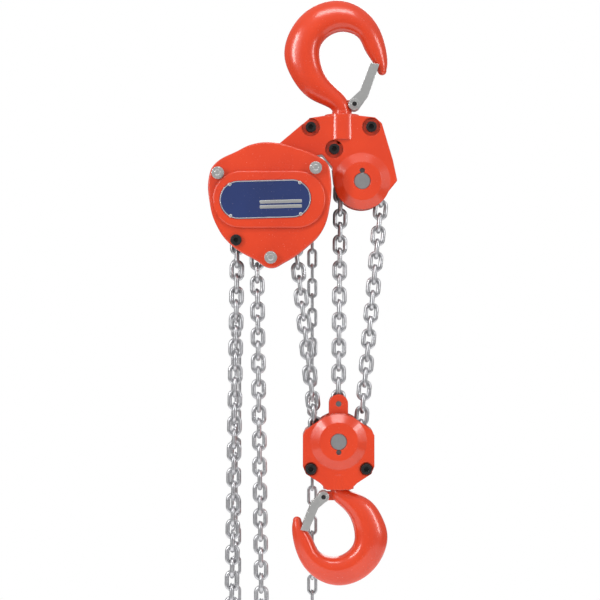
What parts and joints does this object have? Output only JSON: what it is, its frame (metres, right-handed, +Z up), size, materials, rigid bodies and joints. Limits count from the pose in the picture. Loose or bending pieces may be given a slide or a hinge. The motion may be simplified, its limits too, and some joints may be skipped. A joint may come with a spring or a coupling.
{
  "type": "hand chain hoist",
  "caption": "Hand chain hoist with a top hook, gear case, idle sheave, reeved load chain, hand chain and a hook block with a latched lower hook.",
  "frame": {"origin": "saddle of the top hook, on the axis that the hoist swivels about", "axes": "+Z up along the swivel axis, +X to the right in the front view, +Y to the back; the load chain's links lie in the plane Y = 0"},
  "size_m": [0.3026, 0.1765, 1.1228],
  "materials": {
    "orange_paint": "gloss orange-red powder coat",
    "navy_plate": "printed navy aluminium plate",
    "black_bolt": "black oxide",
    "zinc_steel": "bright zinc plate",
    "machined_steel": "machined steel",
    "hardened_steel": "hardened dark steel",
    "bronze": "bearing bronze",
    "friction_lining": "pressed brake lining",
    "chain_steel": "bright nickel-plated chain steel"
  },
  "bodies": {
    "top_hook": {"top_hook": "orange_paint", "top_hook_nut": "machined_steel", "top_latch_pin": "zinc_steel", "top_latch_spring": "hardened_steel"},
    "top_latch": {"top_latch": "zinc_steel"},
    "frame": {"hanger_front_shell": "orange_paint", "hanger_rear_shell": "orange_paint", "hanger_bolts": "black_bolt", "hanger_thrust_ring": "hardened_steel", "top_sheave_shaft": "machined_steel", "top_shaft_lock_pins": "hardened_steel", "gear_side_plate": "machined_steel", "wheel_side_plate": "machined_steel", "stay_bolts": "zinc_steel", "stay_nuts": "zinc_steel", "suspension_pins": "hardened_steel", "gear_cover": "orange_paint", "nameplate": "navy_plate", "nameplate_rivets": "zinc_steel", "gear_bushes": "bronze", "load_sheave_bearings": "hardened_steel", "chain_guide_and_stripper": "machined_steel", "chain_anchor_pin": "black_bolt", "ratchet_wheel": "hardened_steel", "pawl_pins_and_springs": "hardened_steel", "hand_wheel_cover": "orange_paint", "load_chain_upper": "chain_steel", "load_chain_dead_fall": "chain_steel", "load_chain_middle_fall": "chain_steel", "load_chain_driven_fall": "chain_steel", "hand_chain": "chain_steel"},
    "pawl_left": {"pawl_left": "hardened_steel"},
    "pawl_right": {"pawl_right": "hardened_steel"},
    "hand_wheel": {"drive_shaft": "machined_steel", "disc_hub": "machined_steel", "friction_plates": "friction_lining", "hand_wheel": "hardened_steel", "hand_wheel_nut": "machined_steel"},
    "load_sheave": {"load_sheave": "hardened_steel", "load_gear": "hardened_steel", "load_gear_ring": "hardened_steel"},
    "intermediate_left": {"intermediate_gear_left": "hardened_steel"},
    "intermediate_right": {"intermediate_gear_right": "hardened_steel"},
    "top_sheave": {"top_sheave": "hardened_steel", "top_sheave_bush": "bronze"},
    "bottom_sheave": {"bottom_sheave": "hardened_steel", "bottom_sheave_bush": "bronze"},
    "block": {"block_front_shell": "orange_paint", "block_rear_shell": "orange_paint", "block_bolts": "black_bolt", "bottom_sheave_shaft": "machined_steel", "bottom_shaft_lock_pins": "hardened_steel", "chain_end_pin": "hardened_steel", "load_chain_block_turn": "chain_steel", "block_thrust_ring": "hardened_steel"},
    "bottom_hook": {"bottom_hook": "orange_paint", "bottom_hook_nut": "machined_steel", "bottom_latch_pin": "zinc_steel", "bottom_latch_spring": "hardened_steel"},
    "bottom_latch": {"bottom_latch": "zinc_steel"}
  },
  "joints": [
    {"name": "hanger_swivel", "type": "hinge", "parent": "top_hook", "child": "frame", "pos_m": [0, 0, -0.143], "axis": [0, 0, 1], "continuous": true},
    {"name": "top_latch_hinge", "type": "hinge", "parent": "top_hook", "child": "top_latch", "pos_m": [0.0199, 0, -0.1196], "axis": [0, -1, 0], "range_deg": [0, 45], "stiffness_Nm_per_rad": 0.08, "springref_deg": -34.38},
    {"name": "hand_wheel_spin", "type": "hinge", "parent": "frame", "child": "hand_wheel", "pos_m": [-0.112, 0, -0.278], "axis": [0, 1, 0], "continuous": true, "deforming": ["load_chain_upper", "hand_chain"]},
    {"name": "intermediate_left_spin", "type": "hinge", "parent": "frame", "child": "intermediate_left", "pos_m": [-0.157, 0, -0.278], "axis": [0, 1, 0], "continuous": true},
    {"name": "intermediate_right_spin", "type": "hinge", "parent": "frame", "child": "intermediate_right", "pos_m": [-0.067, 0, -0.278], "axis": [0, 1, 0], "continuous": true},
    {"name": "load_sheave_spin", "type": "hinge", "parent": "frame", "child": "load_sheave", "pos_m": [-0.112, 0, -0.278], "axis": [0, 1, 0], "continuous": true},
    {"name": "top_sheave_spin", "type": "hinge", "parent": "frame", "child": "top_sheave", "pos_m": [0.032, 0, -0.246], "axis": [0, 1, 0], "continuous": true},
    {"name": "pawl_right_hinge", "type": "hinge", "parent": "frame", "child": "pawl_right", "pos_m": [-0.08571, 0, -0.22856], "axis": [0, 1, 0], "range_deg": [0, 15], "stiffness_Nm_per_rad": 0.05, "springref_deg": -22.92},
    {"name": "pawl_left_hinge", "type": "hinge", "parent": "frame", "child": "pawl_left", "pos_m": [-0.16797, 0, -0.27995], "axis": [0, 1, 0], "range_deg": [0, 15], "stiffness_Nm_per_rad": 0.05, "springref_deg": -22.92},
    {"name": "block_lift", "type": "slide", "parent": "frame", "child": "block", "axis": [0, 0, 1], "range_m": [0, 0.12], "deforming": ["load_chain_dead_fall", "load_chain_middle_fall", "load_chain_driven_fall"]},
    {"name": "bottom_sheave_spin", "type": "hinge", "parent": "block", "child": "bottom_sheave", "pos_m": [-0.006, 0, -0.6675], "axis": [0, 1, 0], "continuous": true},
    {"name": "bottom_hook_swivel", "type": "hinge", "parent": "block", "child": "bottom_hook", "pos_m": [-0.006, 0, -0.743], "axis": [0, 0, 1], "continuous": true},
    {"name": "bottom_latch_hinge", "type": "hinge", "parent": "bottom_hook", "child": "bottom_latch", "pos_m": [-0.03042, 0, -0.75854], "axis": [0, -1, 0], "range_deg": [0, 45], "stiffness_Nm_per_rad": 0.08, "springref_deg": -34.38}
  ],
  "couplings": [
    {"joint": "intermediate_left_spin", "follows": "hand_wheel_spin", "ratio": -0.16667},
    {"joint": "intermediate_right_spin", "follows": "hand_wheel_spin", "ratio": -0.16667},
    {"joint": "load_sheave_spin", "follows": "hand_wheel_spin", "ratio": 0.041667},
    {"joint": "top_sheave_spin", "follows": "hand_wheel_spin", "ratio": -0.011118},
    {"joint": "bottom_sheave_spin", "follows": "hand_wheel_spin", "ratio": -0.022236}
  ]
}
